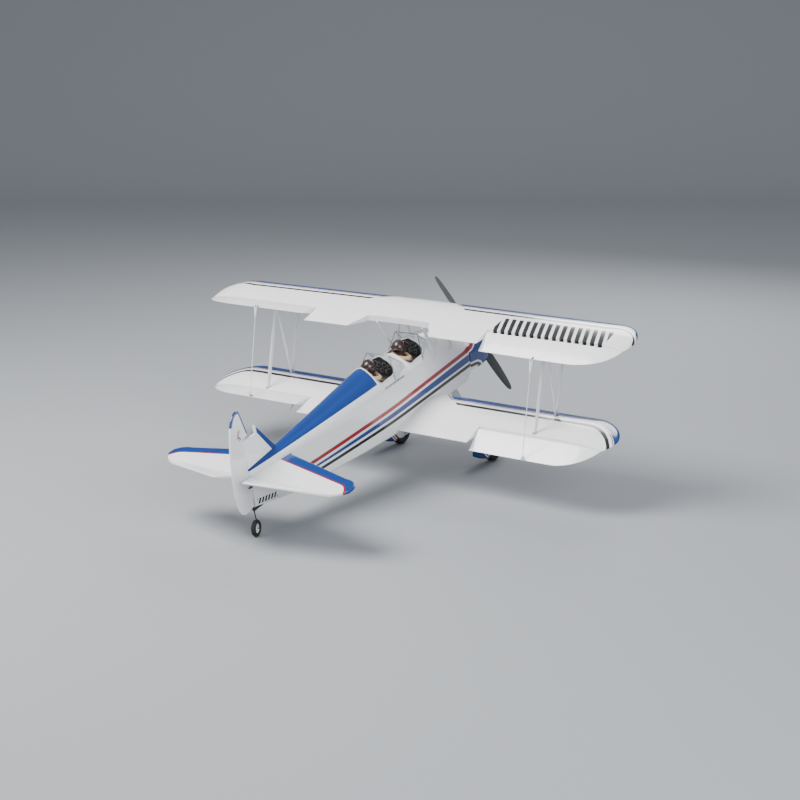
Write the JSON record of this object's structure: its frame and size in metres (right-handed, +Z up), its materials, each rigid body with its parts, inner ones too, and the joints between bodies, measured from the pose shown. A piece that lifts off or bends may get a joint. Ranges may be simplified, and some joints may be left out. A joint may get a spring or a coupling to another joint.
{
  "type": "radio-controlled biplane",
  "caption": "Radio-controlled model biplane in white, blue and red, with two open cockpits, N struts, linked ailerons, wheel pants and a steerable tailwheel.",
  "frame": {"origin": "centre of the bounding box on the floor that its three wheels stand on", "axes": "+Z up, nose towards -Y, +X to the pilot's left; the airframe stands nose-up by its ground angle"},
  "size_m": [1.8792, 1.6542, 0.6905],
  "materials": {
    "white_film": "glossy white heat-shrink covering film with painted stripes",
    "blue_cowl": "glossy painted glass-fibre, blue with white, red and black bands",
    "clear_screen": "clear polished acetate",
    "black_plastic": "satin moulded nylon",
    "carbon": "dark grey satin composite blades",
    "white_strut": "satin white paint",
    "aluminium": "satin bare aluminium",
    "spinner_metal": "polished aluminium",
    "steel": "plain bright steel",
    "black_wire": "black-finished spring wire",
    "tyre_rubber": "matt black rubber on a white hub",
    "plywood": "bare birch ply",
    "pilot": "dark brown leather helmet and jacket with a tan collar",
    "tank": "translucent off-white plastic",
    "battery_wrap": "blue shrink wrap",
    "panel_black": "matt black panel with round dials"
  },
  "bodies": {
    "airframe": {"upper_wing": "white_film", "wing_joiner_tube": "aluminium", "lower_wing_left": "white_film", "aileron_servo_left": "black_plastic", "lower_wing_right": "white_film", "aileron_servo_right": "black_plastic", "interplane_strut_left": "white_strut", "cabane_strut_left": "white_strut", "interplane_strut_right": "white_strut", "cabane_strut_right": "white_strut", "fuselage": "white_film", "stabiliser": "white_film", "cockpit_hatch": "white_film", "instrument_panel_front": "panel_black", "windscreen_front": "clear_screen", "pilot_front": "pilot", "instrument_panel_rear": "panel_black", "windscreen_rear": "clear_screen", "pilot_rear": "pilot", "cowl": "blue_cowl", "firewall": "plywood", "engine": "aluminium", "muffler": "steel", "fuel_tank": "tank", "battery": "battery_wrap", "servo_tray": "plywood", "rudder_servo": "black_plastic", "elevator_servo": "black_plastic", "fin": "white_film", "tailwheel_bearing": "black_plastic", "landing_gear": "aluminium", "axle_left": "steel", "axle_right": "steel", "gear_bolt_left": "steel", "gear_bolt_right": "steel", "wheel_pant_left": "white_film", "wheel_pant_right": "white_film"},
    "propeller_shaft": {"propeller": "carbon", "spinner": "spinner_metal", "crankshaft": "steel"},
    "lower_aileron_left": {"lower_aileron_left": "white_film", "aileron_horn_left": "black_plastic"},
    "upper_aileron_left": {"upper_aileron_left": "white_film"},
    "slave_rod_left": {"slave_rod_left": "white_strut"},
    "aileron_pushrod_left": {"aileron_pushrod_left": "steel"},
    "servo_arm_left": {"servo_arm_left": "black_plastic"},
    "lower_aileron_right": {"lower_aileron_right": "white_film", "aileron_horn_right": "black_plastic"},
    "upper_aileron_right": {"upper_aileron_right": "white_film"},
    "slave_rod_right": {"slave_rod_right": "white_strut"},
    "aileron_pushrod_right": {"aileron_pushrod_right": "steel"},
    "servo_arm_right": {"servo_arm_right": "black_plastic"},
    "elevator": {"elevator_left": "white_film", "elevator_right": "white_film", "elevator_joiner": "steel"},
    "rudder": {"rudder": "white_film", "tailwheel_strut": "black_wire"},
    "wheel_left": {"wheel_left": "tyre_rubber"},
    "wheel_right": {"wheel_right": "tyre_rubber"},
    "tailwheel": {"tailwheel": "tyre_rubber"}
  },
  "joints": [
    {"name": "propeller_spin", "type": "hinge", "parent": "airframe", "child": "propeller_shaft", "pos_m": [0, -0.76249, 0.46033], "axis": [0, 0.9784, -0.2065], "continuous": true},
    {"name": "lower_aileron_left_hinge", "type": "hinge", "parent": "airframe", "child": "lower_aileron_left", "pos_m": [0.475, -0.16302, 0.24507], "axis": [1, 0, 0], "range_deg": [-43, 4]},
    {"name": "upper_aileron_left_hinge", "type": "hinge", "parent": "airframe", "child": "upper_aileron_left", "pos_m": [0.475, -0.21351, 0.60143], "axis": [1, 0, 0], "range_deg": [-43, 4]},
    {"name": "slave_rod_left_pivot", "type": "hinge", "parent": "lower_aileron_left", "child": "slave_rod_left", "pos_m": [0.618, -0.0606, 0.25598], "axis": [1, 0, 0], "range_deg": [-4, 43]},
    {"name": "aileron_pushrod_left_pivot", "type": "hinge", "parent": "lower_aileron_left", "child": "aileron_pushrod_left", "pos_m": [0.475, -0.15608, 0.21765], "axis": [1, 0, 0], "range_deg": [-4, 43]},
    {"name": "servo_arm_left_hinge", "type": "hinge", "parent": "airframe", "child": "servo_arm_left", "pos_m": [0.475, -0.25829, 0.25373], "axis": [1, 0, 0], "range_deg": [-43, 4]},
    {"name": "lower_aileron_right_hinge", "type": "hinge", "parent": "airframe", "child": "lower_aileron_right", "pos_m": [-0.475, -0.16302, 0.24507], "axis": [1, 0, 0], "range_deg": [-4, 43]},
    {"name": "upper_aileron_right_hinge", "type": "hinge", "parent": "airframe", "child": "upper_aileron_right", "pos_m": [-0.475, -0.21351, 0.60143], "axis": [1, 0, 0], "range_deg": [-4, 43]},
    {"name": "slave_rod_right_pivot", "type": "hinge", "parent": "lower_aileron_right", "child": "slave_rod_right", "pos_m": [-0.618, -0.07755, 0.18759], "axis": [1, 0, 0], "range_deg": [-43, 4]},
    {"name": "aileron_pushrod_right_pivot", "type": "hinge", "parent": "lower_aileron_right", "child": "aileron_pushrod_right", "pos_m": [-0.475, -0.17533, 0.2196], "axis": [1, 0, 0], "range_deg": [-43, 4]},
    {"name": "servo_arm_right_hinge", "type": "hinge", "parent": "airframe", "child": "servo_arm_right", "pos_m": [-0.475, -0.25829, 0.25373], "axis": [1, 0, 0], "range_deg": [-4, 43]},
    {"name": "elevator_hinge", "type": "hinge", "parent": "airframe", "child": "elevator", "pos_m": [0, 0.70943, 0.21911], "axis": [1, 0, 0], "range_deg": [-47, 6]},
    {"name": "rudder_hinge", "type": "hinge", "parent": "airframe", "child": "rudder", "pos_m": [0, 0.70972, 0.23744], "axis": [0, 0.2065, 0.9784], "range_deg": [-39, 9]},
    {"name": "wheel_left_spin", "type": "hinge", "parent": "airframe", "child": "wheel_left", "pos_m": [0.221, -0.55533, 0.05699], "axis": [1, 0, 0], "continuous": true},
    {"name": "wheel_right_spin", "type": "hinge", "parent": "airframe", "child": "wheel_right", "pos_m": [-0.221, -0.55533, 0.05699], "axis": [1, 0, 0], "continuous": true},
    {"name": "tailwheel_spin", "type": "hinge", "parent": "rudder", "child": "tailwheel", "pos_m": [-0.00207, 0.67372, 0.02949], "axis": [0.9659, 0.2532, -0.0535], "continuous": true}
  ],
  "couplings": [
    {"joint": "upper_aileron_left_hinge", "follows": "lower_aileron_left_hinge", "ratio": 1},
    {"joint": "slave_rod_left_pivot", "follows": "lower_aileron_left_hinge", "ratio": -1},
    {"joint": "aileron_pushrod_left_pivot", "follows": "lower_aileron_left_hinge", "ratio": -1},
    {"joint": "servo_arm_left_hinge", "follows": "lower_aileron_left_hinge", "ratio": 1},
    {"joint": "lower_aileron_right_hinge", "follows": "lower_aileron_left_hinge", "ratio": -1},
    {"joint": "upper_aileron_right_hinge", "follows": "lower_aileron_left_hinge", "ratio": -1},
    {"joint": "slave_rod_right_pivot", "follows": "lower_aileron_left_hinge", "ratio": 1},
    {"joint": "aileron_pushrod_right_pivot", "follows": "lower_aileron_left_hinge", "ratio": 1},
    {"joint": "servo_arm_right_hinge", "follows": "lower_aileron_left_hinge", "ratio": -1}
  ]
}
